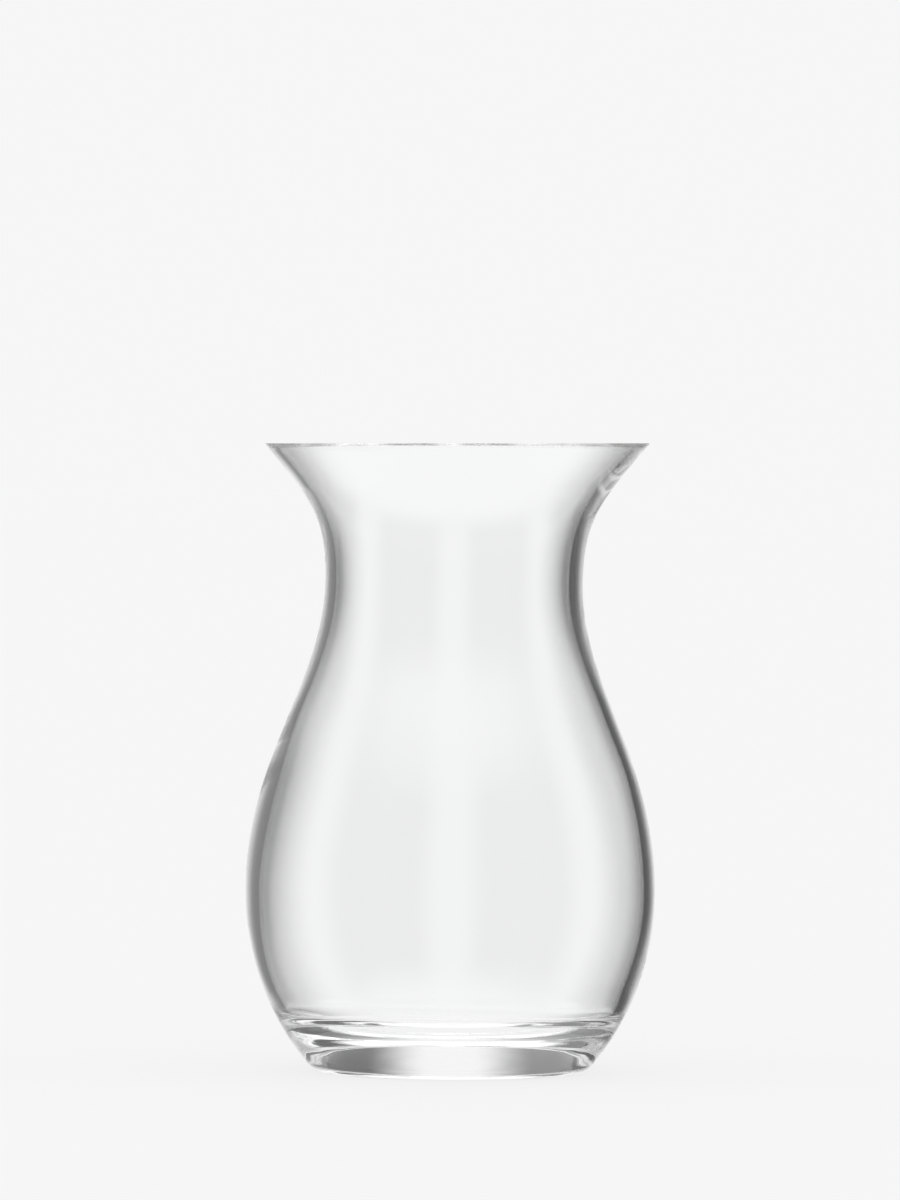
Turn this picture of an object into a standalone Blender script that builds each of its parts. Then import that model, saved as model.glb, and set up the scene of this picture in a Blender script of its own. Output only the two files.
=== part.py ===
"""Posy vase in mouth-blown clear glass: a round belly, a drawn-in neck and a flared, flat-ground rim.

The vase is a single piece of glass. Its section is worked out from the sizes below, in metres with +Z up,
and turned about the Z axis. The origin is the centre of the flat ring that the vase stands on.
"""

import math

import bpy

# Outside of the glass
BELLY_HEIGHT = 0.0502  # widest level, above the table
NECK_RISE = 0.0861  # narrowest level, above the belly
LIP_RISE = 0.0387  # rim, above the neck
BELLY_RADIUS = 0.0569
NECK_RADIUS = 0.0358
RIM_RADIUS = 0.0535  # where the outside would meet the ground rim if the corner were sharp
RIM_FLARE = math.radians(38.7)  # how far the outside leans out from upright at the rim

# How far the outside keeps its direction on either side of each level before it turns
LIP_SWEEP = 0.0189
NECK_SWEEP_ABOVE = 0.0189
NECK_SWEEP_BELOW = 0.0287
BELLY_SWEEP_ABOVE = 0.0374
BELLY_SWEEP_BELOW = 0.0292
HEEL_SWEEP = 0.0010

# Foot
FOOT_RADIUS = 0.0350  # outer edge of the flat ring
HEEL_RADIUS = 0.0059  # rounding between the flat ring and the side
HEEL_RISE = math.radians(54.8)  # how much of a quarter turn the rounding takes
PUNT_RADIUS = 0.0290  # shallow hollow under the base, which leaves the flat ring
PUNT_DEPTH = 0.0012

# Thickness of the glass, square to the outside
RIM_WALL = 0.0023
NECK_WALL = 0.0034
SHOULDER_WALL = 0.0026
SHOULDER_SHARE = 0.6  # how far up from the belly to the neck the thin level lies
BELLY_WALL = 0.0034
LOWER_WALL = 0.0034  # where the inside starts to turn in towards the floor

# Inside of the base
LOWER_HEIGHT = 0.0180  # level of LOWER_WALL
FLOOR_HEIGHT = 0.0129  # edge of the floor, above the table
FLOOR_RADIUS = 0.0250  # where the rounded inner corner meets the floor
FLOOR_CROWN = 0.0008  # rise of the floor's centre above its edge
CORNER_SWEEP_WALL = 0.0042
CORNER_SWEEP_FLOOR = 0.0095

# Rim
RIM_ROUND_OUTER = 0.0004
RIM_ROUND_INNER = 0.0008
ROUND_CLEARANCE = 1.05  # share of a rounding's reach that is kept free of other points

# Fineness of the mesh
TURN_STEPS = 64
WALL_STEPS = 8  # spans of one curve between two levels
CORNER_STEPS = 7
HEEL_STEPS = 5
ROUND_STEPS = 3
BASE_STEPS = 4
MERGE_DISTANCE = 0.00001

NECK_HEIGHT = BELLY_HEIGHT + NECK_RISE
RIM_HEIGHT = NECK_HEIGHT + LIP_RISE
SHOULDER_HEIGHT = BELLY_HEIGHT + NECK_RISE * SHOULDER_SHARE


def bezier(start, start_handle, end_handle, end, steps):
    """Points (radius, height) along a cubic curve, both ends included."""
    points = []
    for step in range(steps + 1):
        t = step / steps
        weights = ((1 - t) ** 3, 3 * t * (1 - t) ** 2, 3 * t * t * (1 - t), t**3)
        corners = (start, start_handle, end_handle, end)
        points.append(tuple(sum(w * p[axis] for w, p in zip(weights, corners)) for axis in (0, 1)))
    return points


def rounded_corner(corner, towards_first, towards_last, radius, steps):
    """An arc that rounds the corner between two straight sides, given as unit directions away from it."""
    half_angle = math.acos(sum(a * b for a, b in zip(towards_first, towards_last))) / 2
    reach = radius / math.tan(half_angle)
    middle = [a + b for a, b in zip(towards_first, towards_last)]
    to_centre = radius / math.sin(half_angle) / math.hypot(*middle)
    centre = [c + m * to_centre for c, m in zip(corner, middle)]
    first = [c + d * reach for c, d in zip(corner, towards_first)]
    last = [c + d * reach for c, d in zip(corner, towards_last)]
    start = math.atan2(first[1] - centre[1], first[0] - centre[0])
    turn = math.atan2(last[1] - centre[1], last[0] - centre[0]) - start
    turn = (turn + math.pi) % (2 * math.pi) - math.pi
    angles = [start + turn * step / steps for step in range(steps + 1)]
    return [(centre[0] + radius * math.cos(a), centre[1] + radius * math.sin(a)) for a in angles], reach


def wall_at(height):
    """Thickness of the glass at a height, eased from one named level to the next."""
    levels = (
        (LOWER_HEIGHT, LOWER_WALL),
        (BELLY_HEIGHT, BELLY_WALL),
        (SHOULDER_HEIGHT, SHOULDER_WALL),
        (NECK_HEIGHT, NECK_WALL),
        (RIM_HEIGHT, RIM_WALL),
    )
    for (low, low_wall), (high, high_wall) in zip(levels, levels[1:]):
        if height <= high:
            share = max(0.0, (height - low) / (high - low))
            return low_wall + (high_wall - low_wall) * (1 - math.cos(math.pi * share)) / 2
    return RIM_WALL


def outer_side():
    """The outside from the rim's sharp corner down to the top of the heel's rounding."""
    rim = (RIM_RADIUS, RIM_HEIGHT)
    neck = (NECK_RADIUS, NECK_HEIGHT)
    belly = (BELLY_RADIUS, BELLY_HEIGHT)
    heel = heel_arc()[0]
    rim_handle = (
        RIM_RADIUS - LIP_SWEEP * math.sin(RIM_FLARE),
        RIM_HEIGHT - LIP_SWEEP * math.cos(RIM_FLARE),
    )
    heel_handle = (
        heel[0] + HEEL_SWEEP * math.cos(HEEL_RISE),
        heel[1] + HEEL_SWEEP * math.sin(HEEL_RISE),
    )
    lip = bezier(rim, rim_handle, (NECK_RADIUS, NECK_HEIGHT + NECK_SWEEP_ABOVE), neck, WALL_STEPS)
    shoulder = bezier(
        neck,
        (NECK_RADIUS, NECK_HEIGHT - NECK_SWEEP_BELOW),
        (BELLY_RADIUS, BELLY_HEIGHT + BELLY_SWEEP_ABOVE),
        belly,
        WALL_STEPS,
    )
    lower = bezier(belly, (BELLY_RADIUS, BELLY_HEIGHT - BELLY_SWEEP_BELOW), heel_handle, heel, WALL_STEPS)
    return lip + shoulder[1:] + lower[1:]


def heel_arc():
    """The rounding from the side down to the flat ring, top to bottom."""
    points = []
    for step in range(HEEL_STEPS + 1):
        angle = -math.pi / 2 + HEEL_RISE * (1 - step / HEEL_STEPS)
        points.append(
            (FOOT_RADIUS + HEEL_RADIUS * math.cos(angle), HEEL_RADIUS + HEEL_RADIUS * math.sin(angle))
        )
    return points


def inner_side(outside):
    """The inside wall, top to bottom: the outside drawn in by the glass, down to the inner corner."""
    points = []
    for index, (radius, height) in enumerate(outside):
        above = outside[max(index - 1, 0)]
        if above[1] <= LOWER_HEIGHT:
            break
        below = outside[min(index + 1, len(outside) - 1)]
        if height < LOWER_HEIGHT:
            share = (above[1] - LOWER_HEIGHT) / (above[1] - height)
            radius, height = above[0] + (radius - above[0]) * share, LOWER_HEIGHT
        lean = math.atan2(above[0] - below[0], above[1] - below[1])
        if index == 0:
            lean = RIM_FLARE
        points.append((radius - wall_at(height) / math.cos(lean), height))
    return points


def inner_corner(wall):
    """The rounded turn from the inside wall to the floor, and the floor to its centre."""
    last, before = wall[-1], wall[-2]
    run = math.hypot(last[0] - before[0], last[1] - before[1])
    wall_handle = tuple(b + (b - a) / run * CORNER_SWEEP_WALL for a, b in zip(before, last))
    edge = (FLOOR_RADIUS, FLOOR_HEIGHT)
    floor_handle = (FLOOR_RADIUS + CORNER_SWEEP_FLOOR, FLOOR_HEIGHT)
    turn = bezier(last, wall_handle, floor_handle, edge, CORNER_STEPS)
    floor = [
        (
            FLOOR_RADIUS * (1 - step / BASE_STEPS),
            FLOOR_HEIGHT + FLOOR_CROWN * (1 - (1 - step / BASE_STEPS) ** 2),
        )
        for step in range(1, BASE_STEPS + 1)
    ]
    return turn[1:] + floor


def underside():
    """The flat ring's inner edge and the shallow hollow, out to in."""
    points = []
    for step in range(BASE_STEPS + 1):
        share = 1 - step / BASE_STEPS
        points.append((PUNT_RADIUS * share, PUNT_DEPTH * (1 - share**2)))
    return points


def away(points, corner, reach):
    """The points further than reach from a corner that is rounded off."""
    return [p for p in points if math.dist(p, corner) > reach * ROUND_CLEARANCE]


def vase_section():
    """The glass in section: floor centre, up the inside, over the rim, down the outside, under to the axis."""
    outside = outer_side()
    inside = inner_side(outside)
    outer_corner, inner_rim = outside[0], inside[0]
    down_outside = (-math.sin(RIM_FLARE), -math.cos(RIM_FLARE))
    outer_arc, outer_reach = rounded_corner(
        outer_corner, (-1, 0), down_outside, RIM_ROUND_OUTER, ROUND_STEPS
    )
    inner_arc, inner_reach = rounded_corner(inner_rim, down_outside, (1, 0), RIM_ROUND_INNER, ROUND_STEPS)
    up_inside = (inside + inner_corner(inside))[::-1]
    return (
        away(up_inside, inner_rim, inner_reach)
        + inner_arc
        + outer_arc
        + away(outside, outer_corner, outer_reach)
        + heel_arc()[1:]
        + underside()
    )


def clear_glass():
    """Colourless soda-lime glass, smooth from the flame."""
    material = bpy.data.materials.new("clear_glass")
    material.use_nodes = True
    shader = material.node_tree.nodes["Principled BSDF"]
    shader.inputs["Base Color"].default_value = (0.97, 0.98, 0.98, 1)
    shader.inputs["Roughness"].default_value = 0.0
    shader.inputs["Metallic"].default_value = 0.0
    shader.inputs["Transmission Weight"].default_value = 1.0
    shader.inputs["IOR"].default_value = 1.51
    material.diffuse_color = (0.85, 0.88, 0.89, 0.4)
    return material


def turned(name, section, collection, material):
    """A closed body of revolution about Z from its half section."""
    mesh = bpy.data.meshes.new(name)
    vertices = [(radius, 0.0, height) for radius, height in section]
    edges = [(index, index + 1) for index in range(len(vertices) - 1)]
    mesh.from_pydata(vertices, edges, [])
    body = bpy.data.objects.new(name, mesh)
    collection.objects.link(body)
    body.data.materials.append(material)
    screw = body.modifiers.new("Turn", "SCREW")
    screw.axis = "Z"
    screw.angle = 2 * math.pi
    screw.steps = TURN_STEPS
    screw.render_steps = TURN_STEPS
    screw.use_merge_vertices = True
    screw.merge_threshold = MERGE_DISTANCE
    screw.use_smooth_shade = True
    return body


def main():
    """Clears the scene and builds the vase in a collection of its own."""
    for existing in list(bpy.data.objects):
        bpy.data.objects.remove(existing, do_unlink=True)
    collection = bpy.data.collections.new("posy_vase")
    bpy.context.scene.collection.children.link(collection)
    turned("glass_vessel", vase_section(), collection, clear_glass())


main()
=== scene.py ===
"""Posy vase in clear mouth-blown glass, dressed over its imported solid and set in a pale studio.

Sizes are in metres, +Z is up, and the origin is the centre of the ring that the vase stands on.
"""

import logging
import math
from dataclasses import dataclass
from enum import Enum

import bpy
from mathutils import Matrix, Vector


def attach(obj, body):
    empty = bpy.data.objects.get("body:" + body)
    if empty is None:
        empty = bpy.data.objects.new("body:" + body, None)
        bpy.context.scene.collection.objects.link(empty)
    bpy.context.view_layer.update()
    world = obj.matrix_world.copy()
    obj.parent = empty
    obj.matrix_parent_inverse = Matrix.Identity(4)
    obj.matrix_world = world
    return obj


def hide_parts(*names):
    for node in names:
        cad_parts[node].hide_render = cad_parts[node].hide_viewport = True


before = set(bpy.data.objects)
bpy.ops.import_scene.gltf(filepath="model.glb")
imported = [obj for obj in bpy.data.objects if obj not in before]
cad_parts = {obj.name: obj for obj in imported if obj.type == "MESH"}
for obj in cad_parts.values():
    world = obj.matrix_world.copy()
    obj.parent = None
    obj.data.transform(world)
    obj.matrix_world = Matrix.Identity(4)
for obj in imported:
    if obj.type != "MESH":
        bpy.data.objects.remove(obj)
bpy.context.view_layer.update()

LOG = logging.getLogger("posy_vase")
WHITE = 0.923
BOUNCES = 300

Point = tuple[float, float]
Value = float | bpy.types.NodeSocket


class Maths(Enum):
    """The sums that the node graphs use."""

    ADD = "ADD"
    SUBTRACT = "SUBTRACT"
    MULTIPLY = "MULTIPLY"
    ABSOLUTE = "ABSOLUTE"
    ANGLE = "ARCTAN2"
    WRAP = "FLOORED_MODULO"
    BELOW = "LESS_THAN"
    LARGER = "MAXIMUM"


class Push(Enum):
    """The way in which a soft ripple moves the glass."""

    ACROSS = "X"
    UP = "Z"
    SQUARE = "NORMAL"


class Graph:
    """Adds nodes to one node tree and joins them."""

    def __init__(self, tree: bpy.types.NodeTree) -> None:
        """Starts on an empty tree.

        Args:
            tree: The node tree of a material, a world or a group.
        """
        self.tree = tree
        tree.nodes.clear()

    def node(self, kind: str, **settings: object) -> bpy.types.Node:
        """Adds one node.

        Args:
            kind: The node's type name.
            **settings: Attributes of the node to set.

        Returns:
            The new node.
        """
        made = self.tree.nodes.new(kind)
        for name, value in settings.items():
            setattr(made, name, value)
        return made

    def feed(self, target: bpy.types.NodeSocket, value: Value) -> None:
        """Sets an input to a number or joins it to an output.

        Args:
            target: The input socket.
            value: A number or an output socket.
        """
        if isinstance(value, bpy.types.NodeSocket):
            self.tree.links.new(value, target)
        else:
            target.default_value = value

    def maths(self, operation: Maths, *values: Value) -> bpy.types.NodeSocket:
        """One sum.

        Args:
            operation: What to do.
            *values: Its inputs in order.

        Returns:
            The result's socket.
        """
        made = self.node("ShaderNodeMath", operation=operation.value)
        for target, value in zip(made.inputs, values):
            self.feed(target, value)
        return made.outputs[0]

    def rise(self, value: Value, start: float, end: float) -> bpy.types.NodeSocket:
        """A smooth step from 0 at start to 1 at end.

        Args:
            value: What is tested.
            start: Where the step begins.
            end: Where it is complete; it may lie below start.

        Returns:
            The step's socket.
        """
        made = self.node("ShaderNodeMapRange", interpolation_type="SMOOTHSTEP")
        for name, given in (("Value", value), ("From Min", start), ("From Max", end)):
            self.feed(made.inputs[name], given)
        return made.outputs[0]

    def blend(self, share: Value, first: Value, second: Value) -> bpy.types.NodeSocket:
        """A mix of two numbers.

        Args:
            share: How much of the second is in the mix.
            first: The value at share 0.
            second: The value at share 1.

        Returns:
            The mix's socket.
        """
        made = self.node("ShaderNodeMix", data_type="FLOAT")
        for target, value in zip(made.inputs[:1] + made.inputs[2:4], (share, first, second)):
            self.feed(target, value)
        return made.outputs[0]

    def axes(self, vector: bpy.types.NodeSocket) -> tuple[bpy.types.NodeSocket, ...]:
        """Splits a vector.

        Args:
            vector: The vector's socket.

        Returns:
            Its X, Y and Z sockets.
        """
        made = self.node("ShaderNodeSeparateXYZ")
        self.feed(made.inputs[0], vector)
        return tuple(made.outputs)

    def grey(self, value: Value) -> bpy.types.NodeSocket:
        """A grey of one brightness.

        Args:
            value: The brightness.

        Returns:
            The colour's socket.
        """
        made = self.node("ShaderNodeCombineColor")
        for target in made.inputs:
            self.feed(target, value)
        return made.outputs[0]


class MaskGroup:
    """A shader node group that works out one value over the surface from the place on the piece."""

    def __init__(self, name: str, inputs: dict[str, float], output: str) -> None:
        """Makes the group with its sockets.

        Args:
            name: The group's name.
            inputs: Names and usual values of its number inputs.
            output: Name of its one output.
        """
        tree = bpy.data.node_groups.new(name, "ShaderNodeTree")
        tree.interface.new_socket("Place", in_out="INPUT", socket_type="NodeSocketVector")
        for label, usual in inputs.items():
            socket = tree.interface.new_socket(label, in_out="INPUT", socket_type="NodeSocketFloat")
            socket.default_value = usual
        tree.interface.new_socket(output, in_out="OUTPUT", socket_type="NodeSocketFloat")
        self.tree = tree
        self.graph = Graph(tree)
        self.start = self.graph.node("NodeGroupInput")
        self.end = self.graph.node("NodeGroupOutput")

    def take(self, label: str) -> bpy.types.NodeSocket:
        """The socket inside the group for one of its inputs."""
        return self.start.outputs[label]

    def give(self, value: bpy.types.NodeSocket) -> bpy.types.NodeTree:
        """Sends a value out of the group and returns the finished group."""
        self.graph.feed(self.end.inputs[0], value)
        return self.tree


def stretched_noise(group: MaskGroup, stretch: Point, detail: float) -> bpy.types.NodeSocket:
    """A noise that is drawn out along the vase's height.

    Args:
        group: The group that it is added to; it needs an input named Scale.
        stretch: Scale across the vase and along its height.
        detail: Levels of finer noise.

    Returns:
        The noise's socket.
    """
    graph = group.graph
    mapping = graph.node("ShaderNodeMapping")
    mapping.inputs["Scale"].default_value = (stretch[0], stretch[0], stretch[1])
    graph.feed(mapping.inputs["Vector"], group.take("Place"))
    noise = graph.node("ShaderNodeTexNoise")
    graph.feed(noise.inputs["Vector"], mapping.outputs[0])
    graph.feed(noise.inputs["Scale"], group.take("Scale"))
    noise.inputs["Detail"].default_value = detail
    return noise.outputs[0]


def drawn_ripples() -> bpy.types.NodeTree:
    """The low ripples that blowing and turning leave in the wall, longer than they are wide."""
    group = MaskGroup("drawn_ripples", {"Scale": 40.0, "Depth": 1.0}, "Height")
    noise = stretched_noise(group, (1.0, 0.3), 1.0)
    return group.give(group.graph.maths(Maths.MULTIPLY, noise, group.take("Depth")))


def seeds() -> bpy.types.NodeTree:
    """A few tiny bubbles that are caught in the glass, each a small round rise."""
    group = MaskGroup("seeds", {"Scale": 90.0, "Size": 0.035, "Share": 0.05}, "Height")
    graph = group.graph
    cells = graph.node("ShaderNodeTexVoronoi", feature="F1")
    graph.feed(cells.inputs["Vector"], group.take("Place"))
    graph.feed(cells.inputs["Scale"], group.take("Scale"))
    dome = graph.maths(Maths.SUBTRACT, group.take("Size"), cells.outputs["Distance"])
    dome = graph.maths(Maths.LARGER, dome, 0.0)
    chosen = graph.maths(Maths.BELOW, graph.axes(cells.outputs["Color"])[0], group.take("Share"))
    return group.give(graph.maths(Maths.MULTIPLY, dome, chosen))


def level_band() -> bpy.types.NodeTree:
    """A finely scratched band between two heights, as grinding or wear leaves on glass."""
    group = MaskGroup("level_band", {"Scale": 900.0, "Low": 0.0, "High": 1.0}, "Mask")
    graph = group.graph
    height = graph.axes(group.take("Place"))[2]
    over = graph.maths(Maths.SUBTRACT, height, group.take("Low"))
    under = graph.maths(Maths.SUBTRACT, group.take("High"), height)
    edge = 0.0001
    band = graph.maths(Maths.MULTIPLY, graph.rise(over, 0.0, edge), graph.rise(under, 0.0, edge))
    grain = stretched_noise(group, (1.0, 1.0), 3.0)
    worn = graph.rise(grain, 0.35, 0.65)
    return group.give(graph.maths(Maths.MULTIPLY, band, worn))


@dataclass(frozen=True)
class ClearGlass:
    """Colourless glass with drawn ripples, a few seeds, a satin ground rim and a worn foot."""

    colour: tuple[float, float, float] = (0.995, 0.998, 0.997)
    refraction: float = 1.5
    ripple_depth: float = 0.6
    seed_scale: float = 90.0
    bump_height: float = 0.00006
    rim_level: float = 0.1741
    rim_roughness: float = 0.22
    foot_level: float = 0.0003
    foot_roughness: float = 0.12

    def place(
        self, graph: Graph, name: str, tree: bpy.types.NodeTree, **values: float
    ) -> bpy.types.NodeSocket:
        """Places a group in the material.

        Args:
            graph: The material's graph.
            name: The group node's name.
            tree: The group.
            **values: Numbers for its inputs.

        Returns:
            The group's output socket.
        """
        made = graph.node("ShaderNodeGroup", node_tree=tree, name=name, label=name)
        place = graph.node("ShaderNodeTexCoord")
        graph.feed(made.inputs["Place"], place.outputs["Object"])
        for label, value in values.items():
            made.inputs[label].default_value = value
        return made.outputs[0]

    def material(self) -> bpy.types.Material:
        """The finished glass material."""
        made = bpy.data.materials.new("clear_blown_glass")
        made.use_nodes = True
        graph = Graph(made.node_tree)
        shader = graph.node("ShaderNodeBsdfPrincipled")
        shader.inputs["Base Color"].default_value = (*self.colour, 1.0)
        shader.inputs["Metallic"].default_value = 0.0
        shader.inputs["Transmission Weight"].default_value = 1.0
        shader.inputs["IOR"].default_value = self.refraction
        band = level_band()
        rim = self.place(graph, "ground_rim", band, Low=self.rim_level, High=1.0, Scale=1400.0)
        foot = self.place(graph, "worn_foot", band, Low=-1.0, High=self.foot_level, Scale=500.0)
        rim_part = graph.maths(Maths.MULTIPLY, rim, self.rim_roughness)
        foot_part = graph.maths(Maths.MULTIPLY, foot, self.foot_roughness)
        graph.feed(shader.inputs["Roughness"], graph.maths(Maths.ADD, rim_part, foot_part))
        ripples = self.place(graph, "wall_ripples", drawn_ripples(), Depth=self.ripple_depth)
        bubbles = self.place(graph, "seeds", seeds(), Scale=self.seed_scale)
        bump = graph.node("ShaderNodeBump")
        bump.inputs["Strength"].default_value = 1.0
        bump.inputs["Distance"].default_value = self.bump_height
        graph.feed(bump.inputs["Height"], graph.maths(Maths.ADD, ripples, bubbles))
        graph.feed(shader.inputs["Normal"], bump.outputs[0])
        end = graph.node("ShaderNodeOutputMaterial")
        graph.feed(end.inputs["Surface"], shader.outputs[0])
        return made


def bezier(start: Point, start_handle: Point, end_handle: Point, end: Point, spans: int) -> list[Point]:
    """Points along a cubic curve.

    Args:
        start: First point, as radius and height.
        start_handle: The curve leaves the first point towards it.
        end_handle: The curve comes to the last point from it.
        end: Last point.
        spans: Number of steps.

    Returns:
        The points, both ends included.
    """
    points = []
    for step in range(spans + 1):
        t = step / spans
        weights = ((1 - t) ** 3, 3 * t * (1 - t) ** 2, 3 * t * t * (1 - t), t**3)
        corners = (start, start_handle, end_handle, end)
        points.append(tuple(sum(w * p[axis] for w, p in zip(weights, corners)) for axis in (0, 1)))
    return points


def rounded(
    corner: Point, first_way: Point, last_way: Point, radius: float, spans: int
) -> tuple[list[Point], float]:
    """An arc in a corner.

    Args:
        corner: Where the two straight sides would meet.
        first_way: Unit direction of the first side, away from the corner.
        last_way: Unit direction of the last side, away from the corner.
        radius: Radius of the arc.
        spans: Number of steps.

    Returns:
        The arc's points and how far from the corner it starts.
    """
    half = math.acos(sum(a * b for a, b in zip(first_way, last_way))) / 2
    reach = radius / math.tan(half)
    middle = [a + b for a, b in zip(first_way, last_way)]
    depth = radius / math.sin(half) / math.hypot(*middle)
    centre = [c + m * depth for c, m in zip(corner, middle)]
    ends = [[c + d * reach for c, d in zip(corner, way)] for way in (first_way, last_way)]
    angles = [math.atan2(end[1] - centre[1], end[0] - centre[0]) for end in ends]
    turn = (angles[1] - angles[0] + math.pi) % (2 * math.pi) - math.pi
    steps = [angles[0] + turn * step / spans for step in range(spans + 1)]
    return [(centre[0] + radius * math.cos(a), centre[1] + radius * math.sin(a)) for a in steps], reach


def select_only(piece: bpy.types.Object) -> None:
    """Selects one object and makes it active, with everything else deselected."""
    bpy.ops.object.select_all(action="DESELECT")
    piece.select_set(True)
    bpy.context.view_layer.objects.active = piece


@dataclass
class GlassVessel:
    """The vase: one wall of blown glass, from the foot ring over the belly and neck to the ground rim."""

    belly_height: float = 0.0502
    neck_rise: float = 0.0861
    lip_rise: float = 0.0387
    belly_radius: float = 0.0569
    neck_radius: float = 0.0358
    rim_radius: float = 0.0535
    rim_flare: float = math.radians(38.7)
    lip_sweep: float = 0.0189
    neck_sweep_above: float = 0.0189
    neck_sweep_below: float = 0.0287
    belly_sweep_above: float = 0.0374
    belly_sweep_below: float = 0.0292
    heel_sweep: float = 0.0010
    foot_radius: float = 0.0350
    heel_radius: float = 0.0059
    heel_rise: float = math.radians(54.8)
    punt_radius: float = 0.0290
    punt_depth: float = 0.0012
    rim_wall: float = 0.0023
    neck_wall: float = 0.0034
    shoulder_wall: float = 0.0026
    shoulder_share: float = 0.6
    belly_wall: float = 0.0034
    lower_wall: float = 0.0034
    lower_height: float = 0.0180
    floor_height: float = 0.0129
    floor_radius: float = 0.0250
    floor_crown: float = 0.0008
    corner_sweep_wall: float = 0.0042
    corner_sweep_floor: float = 0.0095
    rim_round_outer: float = 0.00015
    rim_round_inner: float = 0.00030
    thicker: tuple[Point, ...] = ((0.025, -0.0002), (0.05, 0.0), (0.079, 0.0004), (0.106, 0.0))
    shift: tuple[Point, ...] = (
        (0.020, -0.0002),
        (0.048, 0.0003),
        (0.079, 0.0006),
        (0.102, 0.0),
        (0.139, -0.0003),
        (0.16, -0.0005),
    )
    wall_ripple: float = 0.00005
    wall_wave: float = 0.03
    floor_ripple: float = 0.00010
    floor_wave: float = 0.012
    fade_top: float = 0.012
    fade_low: float = 0.010
    floor_ring_depth: float = 0.00003
    floor_ring_pitch: float = 0.0090
    rim_drop: float = 0.00078
    lean: tuple[float, ...] = (0.00025, 0.00012, 0.0, 0.0, 0.00012, 0.00035, 0.00075, 0.0012)
    curve_spans: int = 44
    turn_steps: int = 240

    @property
    def largest_shift(self) -> float:
        """The furthest that the inside lies out of the middle."""
        return max(abs(shift) for _, shift in self.shift)

    @property
    def neck_height(self) -> float:
        """Level of the narrowest part."""
        return self.belly_height + self.neck_rise

    @property
    def rim_height(self) -> float:
        """Level of the ground rim."""
        return self.neck_height + self.lip_rise

    def heel(self) -> list[Point]:
        """The rounding from the side down to the flat ring, top to bottom."""
        points = []
        spans = self.curve_spans // 3
        for step in range(spans + 1):
            angle = -math.pi / 2 + self.heel_rise * (1 - step / spans)
            points.append(
                (
                    self.foot_radius + self.heel_radius * math.cos(angle),
                    self.heel_radius + self.heel_radius * math.sin(angle),
                )
            )
        return points

    def outer_side(self) -> list[Point]:
        """The outside from the rim's corner down to the top of the heel."""
        rim = (self.rim_radius, self.rim_height)
        neck = (self.neck_radius, self.neck_height)
        belly = (self.belly_radius, self.belly_height)
        heel = self.heel()[0]
        from_rim = (
            rim[0] - self.lip_sweep * math.sin(self.rim_flare),
            rim[1] - self.lip_sweep * math.cos(self.rim_flare),
        )
        from_heel = (
            heel[0] + self.heel_sweep * math.cos(self.heel_rise),
            heel[1] + self.heel_sweep * math.sin(self.heel_rise),
        )
        lip = bezier(rim, from_rim, (neck[0], neck[1] + self.neck_sweep_above), neck, self.curve_spans)
        shoulder = bezier(
            neck,
            (neck[0], neck[1] - self.neck_sweep_below),
            (belly[0], belly[1] + self.belly_sweep_above),
            belly,
            int(self.curve_spans * 1.5),
        )
        from_belly = (belly[0], belly[1] - self.belly_sweep_below)
        lower = bezier(belly, from_belly, from_heel, heel, self.curve_spans)
        return lip + shoulder[1:] + lower[1:]

    @staticmethod
    def read_off(table: tuple[Point, ...], height: float) -> float:
        """The value at a height in a table of (height, value), eased between its rows.

        Args:
            table: Rows from the lowest height to the highest.
            height: Level above the table.

        Returns:
            The value.
        """
        for (low, low_value), (high, high_value) in zip(table, table[1:]):
            if height <= high:
                share = max(0.0, (height - low) / (high - low))
                return low_value + (high_value - low_value) * (1 - math.cos(math.pi * share)) / 2
        return table[-1][1]

    def wall_at(self, height: float) -> float:
        """Thickness of the glass at a height.

        Args:
            height: Level above the table.

        Returns:
            The thickness, eased from one level to the next.
        """
        shoulder = self.belly_height + self.neck_rise * self.shoulder_share
        levels = (
            (self.lower_height, self.lower_wall),
            (self.belly_height, self.belly_wall),
            (shoulder, self.shoulder_wall),
            (self.neck_height, self.neck_wall),
            (self.rim_height, self.rim_wall),
        )
        return self.read_off(levels, height) + self.read_off(self.thicker, height)

    def inner_side(self, outside: list[Point]) -> list[Point]:
        """The inside wall, top to bottom.

        Args:
            outside: The outside, top to bottom.

        Returns:
            The outside drawn in by the glass, down to the inner corner.
        """
        points = []
        for index, (radius, height) in enumerate(outside):
            if height < self.lower_height:
                break
            above = outside[max(index - 1, 0)]
            below = outside[min(index + 1, len(outside) - 1)]
            lean = math.atan2(above[0] - below[0], above[1] - below[1]) if index else self.rim_flare
            points.append((radius - self.wall_at(height) / math.cos(lean), height))
        return points

    def floor_level(self, radius: float) -> float:
        """Height of the floor at a radius, with its crown and its faint turned rings."""
        share = radius / self.floor_radius
        fade = 1 - share**4
        ring = math.cos(2 * math.pi * radius / self.floor_ring_pitch) * self.floor_ring_depth
        return self.floor_height + self.floor_crown * (1 - share**2) + ring * fade

    def inner_base(self, wall: list[Point]) -> list[Point]:
        """The rounded turn from the wall to the floor, and the floor to its centre.

        Args:
            wall: The inside wall, top to bottom.

        Returns:
            The points that follow the wall.
        """
        last, before = wall[-1], wall[-2]
        run = math.dist(last, before)
        from_wall = tuple(b + (b - a) / run * self.corner_sweep_wall for a, b in zip(before, last))
        edge = (self.floor_radius, self.floor_height)
        from_floor = (edge[0] + self.corner_sweep_floor, edge[1])
        turn = bezier(last, from_wall, from_floor, edge, self.curve_spans // 2)
        radii = [self.floor_radius * (1 - step / self.curve_spans) for step in range(1, self.curve_spans + 1)]
        return turn[1:] + [(radius, self.floor_level(radius)) for radius in radii]

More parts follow.
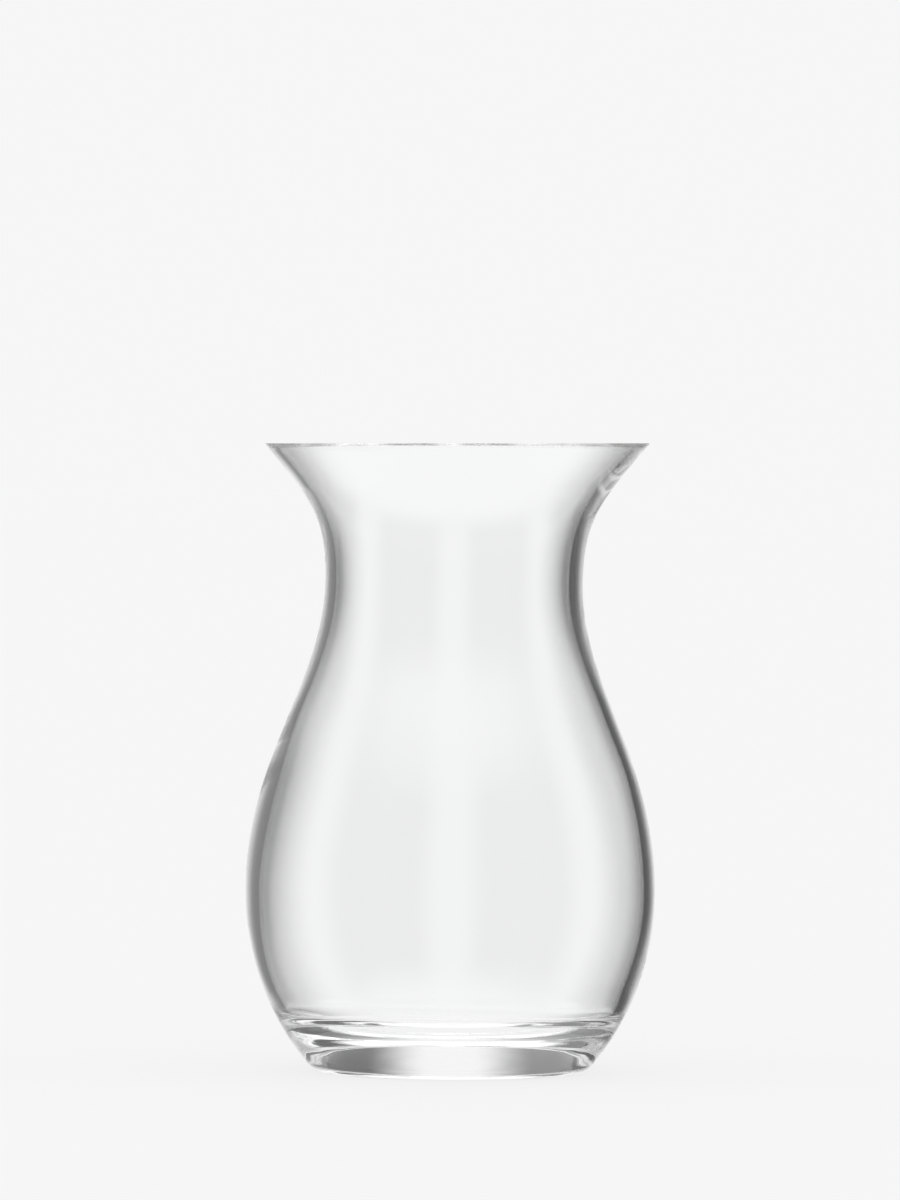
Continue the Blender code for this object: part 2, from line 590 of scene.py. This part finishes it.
    def underside(self) -> list[Point]:
        """The flat ring and the shallow hollow, outside to axis."""
        ring = [(self.foot_radius + (self.punt_radius - self.foot_radius) * s, 0.0) for s in (0.33, 0.67)]
        spans = self.curve_spans // 2
        shares = [1 - step / spans for step in range(spans + 1)]
        return ring + [(self.punt_radius * s, self.punt_depth * (1 - s**2)) for s in shares]

    def section(self) -> list[Point]:
        """The glass in section: floor centre, up the inside, over the rim, down and under to the axis."""
        outside = self.outer_side()
        inside = self.inner_side(outside)
        down = (-math.sin(self.rim_flare), -math.cos(self.rim_flare))
        outer_arc, outer_reach = rounded(outside[0], (-1, 0), down, self.rim_round_outer, 6)
        inner_arc, inner_reach = rounded(inside[0], down, (1, 0), self.rim_round_inner, 8)
        up_inside = (inside + self.inner_base(inside))[::-1]
        return (
            [p for p in up_inside if math.dist(p, inside[0]) > inner_reach * 1.05]
            + inner_arc
            + outer_arc
            + [p for p in outside if math.dist(p, outside[0]) > outer_reach * 1.05]
            + self.heel()[1:]
            + self.underside()
        )

    def draw(self) -> bpy.types.Object:
        """Draws the half section: a plate is drawn together to a point and led along the curve."""
        bpy.ops.object.select_all(action="DESELECT")
        points = self.section()
        bpy.ops.mesh.primitive_plane_add(size=0.001, location=(0, 0, 0))
        vessel = bpy.context.object
        vessel.name = vessel.data.name = "blown_glass_vessel"
        bpy.ops.object.mode_set(mode="EDIT")
        bpy.ops.mesh.select_all(action="SELECT")
        bpy.ops.mesh.merge(type="CENTER")
        bpy.ops.transform.translate(value=(points[0][0], 0, points[0][1]))
        for before, after in zip(points, points[1:]):
            step = (after[0] - before[0], 0, after[1] - before[1])
            bpy.ops.mesh.extrude_vertices_move(TRANSFORM_OT_translate={"value": step})
        return vessel

    def turn(self, vessel: bpy.types.Object) -> None:
        """Turns the section round the axis and closes it.

        Args:
            vessel: The half section, still in edit mode.
        """
        bpy.ops.object.mode_set(mode="OBJECT")
        select_only(vessel)
        screw = vessel.modifiers.new("turned", "SCREW")
        screw.steps = screw.render_steps = self.turn_steps
        screw.use_merge_vertices = True
        screw.merge_threshold = 0.00001
        bpy.ops.object.modifier_apply(modifier="turned")
        bpy.ops.object.mode_set(mode="EDIT")
        bpy.ops.mesh.select_all(action="SELECT")
        bpy.ops.mesh.remove_doubles(threshold=0.000005)
        bpy.ops.mesh.normals_make_consistent(inside=False)
        bpy.ops.object.mode_set(mode="OBJECT")
        bpy.ops.object.shade_smooth()

    def mark(self, vessel: bpy.types.Object) -> None:
        """Names the inside wall and the floor, so that each can be worked by itself.

        Args:
            vessel: The turned glass.
        """
        side = sorted((height, radius) for radius, height in self.outer_side())
        wall = vessel.vertex_groups.new(name="inside_wall")
        floor = vessel.vertex_groups.new(name="floor")
        left = vessel.vertex_groups.new(name="inside_left")
        right = vessel.vertex_groups.new(name="inside_right")
        index = 0
        for vertex in sorted(vessel.data.vertices, key=lambda v: v.co.z):
            radius, height = math.hypot(vertex.co.x, vertex.co.y), vertex.co.z
            if height < self.floor_height * 0.8:
                continue
            while index < len(side) - 1 and side[index][0] < height:
                index += 1
            if radius > side[index][1] - self.rim_wall / 2:
                continue
            top = min(1.0, max(0.0, (self.rim_height - height) / self.fade_top))
            low = min(1.0, max(0.0, (height - self.floor_height) / self.fade_low))
            wall.add([vertex.index], top * low, "REPLACE")
            shift = self.read_off(self.shift, height) / self.largest_shift * top * low
            (right if shift > 0 else left).add([vertex.index], abs(shift), "REPLACE")
            middle = max(0.0, 1 - (radius / (self.floor_radius * 1.35)) ** 4)
            floor.add([vertex.index], middle * (1 - low), "REPLACE")

    def press(
        self, vessel: bpy.types.Object, name: str, group: str, way: Push, depth: float, size: float
    ) -> None:
        """Moves part of the glass by a soft random height.

        Args:
            vessel: The turned glass.
            name: Name of the ripple.
            group: The part that moves.
            way: The direction of the move.
            depth: Height of the ripple from lowest to highest.
            size: Width of a wave, or 0 for an even move.
        """
        modifier = vessel.modifiers.new(name, "DISPLACE")
        modifier.direction = way.value
        modifier.vertex_group = group
        modifier.strength = depth
        modifier.mid_level = 0.0
        if size:
            waves = bpy.data.textures.new(name, "CLOUDS")
            waves.noise_scale = size
            waves.noise_depth = 1
            modifier.texture = waves
            modifier.texture_coords = "LOCAL"
            modifier.mid_level = 0.5
        select_only(vessel)
        bpy.ops.object.modifier_apply(modifier=name)

    def settle(self, vessel: bpy.types.Object) -> None:
        """Leans the neck a little and drops one side of the rim, as hand work leaves them.

        Args:
            vessel: The rippled glass.
        """
        bpy.ops.object.add(type="LATTICE", location=(0, 0, self.rim_height / 2))
        cage = bpy.context.object
        width = self.belly_radius * 2
        cage.scale = (width, width, self.rim_height)
        cage.data.points_u = cage.data.points_v = 2
        cage.data.interpolation_type_u = cage.data.interpolation_type_v = "KEY_LINEAR"
        cage.data.interpolation_type_w = "KEY_CATMULL_ROM"
        cage.data.points_w = len(self.lean)
        bpy.context.view_layer.update()
        top = len(self.lean) - 1
        for index, point in enumerate(cage.data.points):
            level = index // 4
            drop = self.rim_drop / self.rim_height if level == top and point.co.x < 0 else 0.0
            point.co_deform = point.co_deform + Vector((self.lean[level] / width, 0, -drop))
        modifier = vessel.modifiers.new("hand_lean", "LATTICE")
        modifier.object = cage
        select_only(vessel)
        bpy.ops.object.modifier_apply(modifier="hand_lean")
        bpy.data.objects.remove(cage)

    def dress(self, vessel: bpy.types.Object) -> None:
        """Gives the glass its finish and its place in the frame.

        Args:
            vessel: The finished mesh.
        """
        vessel.data.materials.clear()
        vessel.data.materials.append(ClearGlass().material())
        vessel.visible_diffuse = False
        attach(vessel, "root")
        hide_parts("glass_vessel")

    def build(self) -> bpy.types.Object:
        """Models and dresses the vase and returns its object."""
        vessel = self.draw()
        self.turn(vessel)
        self.mark(vessel)
        self.press(vessel, "thick_left", "inside_right", Push.ACROSS, self.largest_shift, 0.0)
        self.press(vessel, "thick_right", "inside_left", Push.ACROSS, -self.largest_shift, 0.0)
        self.press(vessel, "wall_ripple", "inside_wall", Push.SQUARE, self.wall_ripple, self.wall_wave)
        self.press(vessel, "floor_ripple", "floor", Push.UP, self.floor_ripple, self.floor_wave)
        self.settle(vessel)
        vessel.vertex_groups.clear()
        self.dress(vessel)
        return vessel


@dataclass
class StudioFloor:
    """A plain pale floor that keeps a soft shadow and runs out into the backdrop."""

    width: float = 60.0
    shadow_share: float = 0.4

    def build(self) -> bpy.types.Object:
        """Lays the floor and returns it."""
        bpy.ops.object.select_all(action="DESELECT")
        bpy.ops.mesh.primitive_plane_add(size=self.width, location=(0, 0, 0))
        floor = bpy.context.object
        floor.name = floor.data.name = "studio_floor"
        material = bpy.data.materials.new("pale_floor")
        material.use_nodes = True
        graph = Graph(material.node_tree)
        path = graph.node("ShaderNodeLightPath")
        matt = graph.node("ShaderNodeBsdfDiffuse")
        matt.inputs["Color"].default_value = (WHITE, WHITE, WHITE, 1.0)
        lit = graph.node("ShaderNodeEmission")
        lit.inputs["Color"].default_value = (WHITE, WHITE, WHITE, 1.0)
        mix = graph.node("ShaderNodeMixShader")
        plain = graph.maths(Maths.MULTIPLY, path.outputs["Is Camera Ray"], 1 - self.shadow_share)
        graph.feed(mix.inputs[0], plain)
        graph.feed(mix.inputs[1], matt.outputs[0])
        graph.feed(mix.inputs[2], lit.outputs[0])
        graph.feed(graph.node("ShaderNodeOutputMaterial").inputs["Surface"], mix.outputs[0])
        floor.data.materials.append(material)
        floor.visible_glossy = False
        floor.visible_transmission = False
        return floor


@dataclass(frozen=True)
class StudioLight:
    """A white tent: dark flags beside the backdrop, paler ones in front, and a softbox overhead."""

    openings: int = 4
    opening: float = 0.9
    flag_left: float = 0.22
    flag_right: float = 0.1
    flag_front: float = 0.5
    front_edges: Point = (80.0, 100.0)
    flag_edges: Point = (5.0, 24.0)
    flag_change: Point = (-0.1, 0.1)
    flag_height: Point = (0.4, 0.8)
    overhead: float = 1.3
    overhead_height: Point = (0.5, 0.8)

    def nearest(self, graph: Graph, around: bpy.types.NodeSocket, parts: int) -> bpy.types.NodeSocket:
        """The angle from the nearest of a few evenly spread directions.

        Args:
            graph: The world's graph.
            around: Direction round the vase.
            parts: How many directions there are.

        Returns:
            The angle's socket.
        """
        part = 2 * math.pi / parts
        shifted = graph.maths(Maths.ADD, around, part / 2)
        return graph.maths(Maths.SUBTRACT, graph.maths(Maths.WRAP, shifted, part), part / 2)

    def tent(
        self,
        graph: Graph,
        around: bpy.types.NodeSocket,
        turn: bpy.types.NodeSocket,
        height: bpy.types.NodeSocket,
    ) -> bpy.types.NodeSocket:
        """The brightness of the studio in each direction, the same for all light.

        Args:
            graph: The world's graph.
            around: Direction round the vase, from straight behind it.
            turn: Angle from the middle of the nearest opening.
            height: How far the direction points up, from -1 to 1.

        Returns:
            The brightness socket.
        """
        first, full = (math.radians(edge) for edge in self.flag_edges)
        flag = graph.rise(graph.maths(Maths.ABSOLUTE, turn), first, full)
        level = graph.rise(graph.maths(Maths.ABSOLUTE, height), self.flag_height[1], self.flag_height[0])
        side = graph.blend(graph.rise(turn, *self.flag_change), self.flag_left, self.flag_right)
        near, far = (math.radians(edge) for edge in self.front_edges)
        front = graph.rise(graph.maths(Maths.ABSOLUTE, around), near, far)
        side = graph.blend(front, side, self.flag_front)
        walls = graph.blend(graph.maths(Maths.MULTIPLY, flag, level), self.opening, side)
        return graph.blend(graph.rise(height, *self.overhead_height), walls, self.overhead)

    def build(self) -> bpy.types.World:
        """Makes the world and puts it in the scene."""
        world = bpy.data.worlds.new("studio")
        world.use_nodes = True
        bpy.context.scene.world = world
        graph = Graph(world.node_tree)
        path = graph.node("ShaderNodeLightPath")
        place = graph.node("ShaderNodeTexCoord")
        across, back, height = graph.axes(place.outputs["Generated"])
        around = graph.maths(Maths.ANGLE, across, back)
        turn = self.nearest(graph, around, self.openings)
        tent = self.tent(graph, around, turn, height)
        seen = graph.blend(path.outputs["Is Camera Ray"], tent, WHITE)
        light = graph.node("ShaderNodeBackground")
        graph.feed(light.inputs["Color"], graph.grey(seen))
        graph.feed(graph.node("ShaderNodeOutputWorld").inputs["Surface"], light.outputs[0])
        return world


@dataclass
class PhotoCamera:
    """The long lens in front of the vase, level with its rim."""

    distance: float = 2.6
    height: float = 0.175
    aside: float = -0.00089
    lens: float = 280.9
    pitch: float = math.radians(0.968)
    roll: float = math.radians(-0.39)

    def build(self) -> bpy.types.Object:
        """Sets the camera up as the scene's own and returns it."""
        bpy.ops.object.select_all(action="DESELECT")
        bpy.ops.object.camera_add(location=(self.aside, -self.distance, self.height))
        camera = bpy.context.object
        camera.name = camera.data.name = "photo_camera"
        camera.rotation_euler = (math.pi / 2 - self.pitch, self.roll, 0)
        camera.data.sensor_width = 36.0
        camera.data.lens = self.lens
        camera.data.clip_end = 100.0
        bpy.context.scene.camera = camera
        return camera


def set_picture() -> None:
    """Plain colours, and enough bounces for light that is turned many times in the base."""
    scene = bpy.context.scene
    scene.view_settings.view_transform = "Standard"
    scene.cycles.max_bounces = BOUNCES
    scene.cycles.transmission_bounces = BOUNCES
    scene.cycles.glossy_bounces = BOUNCES


def main() -> None:
    """Builds the vase and its studio in order and reports each piece."""
    logging.basicConfig(level=logging.INFO, format="%(message)s")
    vessel = GlassVessel().build()
    LOG.info("%s: %d faces", vessel.name, len(vessel.data.polygons))
    floor = StudioFloor().build()
    LOG.info("%s laid", floor.name)
    world = StudioLight().build()
    LOG.info("%s lit", world.name)
    camera = PhotoCamera().build()
    LOG.info("%s set", camera.name)
    set_picture()


if __name__ == "__main__":
    main()
